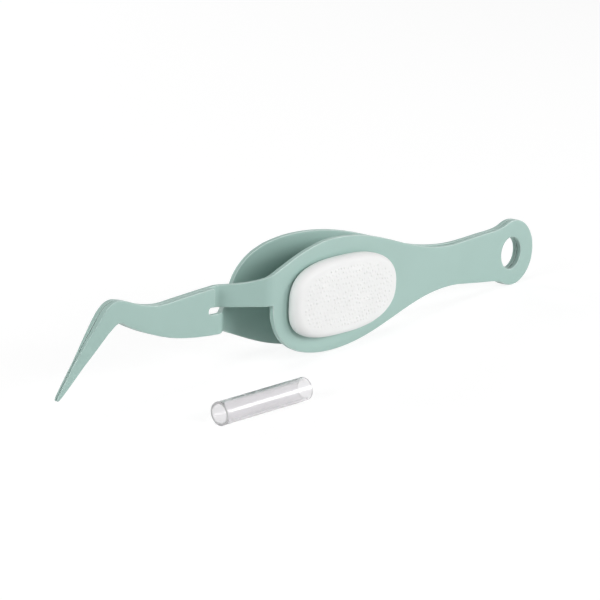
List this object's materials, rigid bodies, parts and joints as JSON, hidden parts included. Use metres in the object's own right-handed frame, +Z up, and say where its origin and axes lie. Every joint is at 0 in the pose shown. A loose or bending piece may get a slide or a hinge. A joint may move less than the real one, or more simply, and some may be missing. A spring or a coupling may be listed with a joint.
{
  "type": "reverse tweezers",
  "caption": "Self-closing craft tweezers: two coated spring-steel arms with oval grip pads cross behind a bent, tapered tip, so squeezing opens it. A clear tube guards the tip.",
  "frame": {"origin": "on the table, under the middle of the whole box, tip tube included", "axes": "+X from the tips to the heel, +Y from the arm with the upper neck (nearer the viewer in the picture) to the other arm, +Z up from the table; the tweezers lie on the lower edges of their ovals and heel, tipped 3.9 degrees with the tips up"},
  "size_m": [0.1512, 0.0342, 0.0241],
  "materials": {
    "coating": "matte mint-green coating on sheet steel",
    "weld": "bare fused steel",
    "film": "adhesive film",
    "pad": "white grip with fine raised dots",
    "tube": "clear flexible tube"
  },
  "bodies": {
    "heel": {"front_heel": "coating", "back_heel": "coating", "weld_before_hole": "weld", "weld_behind_hole": "weld"},
    "front_arm": {"front_arm": "coating", "front_pad_film": "film", "front_pad": "pad"},
    "back_arm": {"back_arm": "coating", "back_pad_film": "film", "back_pad": "pad"},
    "tip_tube": {"tip_tube": "tube"}
  },
  "joints": [
    {"name": "front_arm_flex", "type": "hinge", "parent": "heel", "child": "front_arm", "pos_m": [0.0503, 0.00774, 0.00869], "axis": [-0.0676, 0, -0.9977], "range_deg": [0, 4], "stiffness_Nm_per_rad": 6, "springref_deg": -0.57},
    {"name": "back_arm_flex", "type": "hinge", "parent": "heel", "child": "back_arm", "pos_m": [0.0503, 0.00894, 0.00869], "axis": [0.0676, 0, 0.9977], "range_deg": [0, 4], "stiffness_Nm_per_rad": 6, "springref_deg": -0.57},
    {"name": "tip_tube_lift", "type": "slide", "parent": "heel", "child": "tip_tube", "axis": [0, 0, 1], "range_m": [0, 0.04]}
  ],
  "couplings": [
    {"joint": "back_arm_flex", "follows": "front_arm_flex", "ratio": 1}
  ]
}
